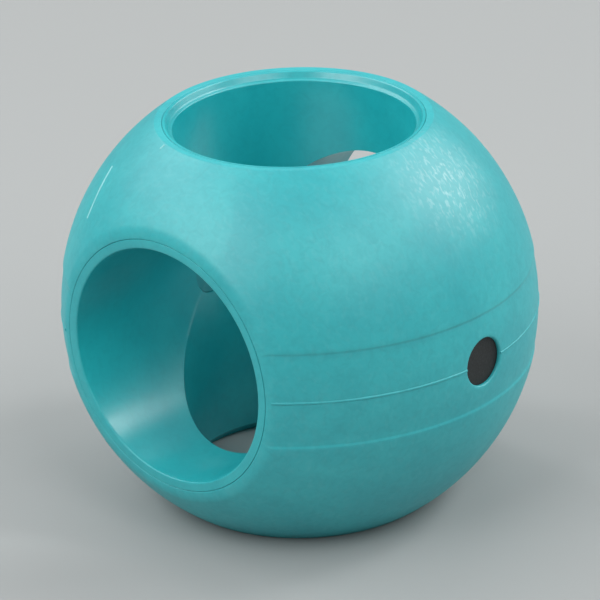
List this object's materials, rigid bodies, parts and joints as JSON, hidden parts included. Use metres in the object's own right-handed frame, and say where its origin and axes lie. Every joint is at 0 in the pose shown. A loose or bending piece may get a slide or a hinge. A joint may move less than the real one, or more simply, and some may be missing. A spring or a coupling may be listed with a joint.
{
  "type": "laundry dryer ball",
  "caption": "Hollow moulded laundry ball with two equal crossing through bores, flat mouth faces, an equatorial seam and magnet packs behind small pole holes.",
  "frame": {"origin": "centre of the ball, where the two bores' axes cross", "axes": "+Z along the upright bore, +Y along the level bore, +X out through one of the two small holes"},
  "size_m": [0.0694, 0.0574, 0.0574],
  "materials": {
    "shell_plastic": "moulded soft-touch plastic, satin, turquoise",
    "duct_plastic": "moulded soft-touch plastic, satin, turquoise",
    "carrier_plastic": "moulded plastic, turquoise",
    "pad_foam": "closed-cell foam, black",
    "ferrite": "sintered ferrite, charcoal, matt"
  },
  "bodies": {
    "root": {"upper_shell": "shell_plastic", "lower_shell": "shell_plastic", "cross_duct": "duct_plastic", "left_magnet_carrier": "carrier_plastic", "left_pad": "pad_foam", "left_inner_magnet": "ferrite", "left_outer_magnet": "ferrite", "right_magnet_carrier": "carrier_plastic", "right_pad": "pad_foam", "right_inner_magnet": "ferrite", "right_outer_magnet": "ferrite"}
  },
  "joints": []
}
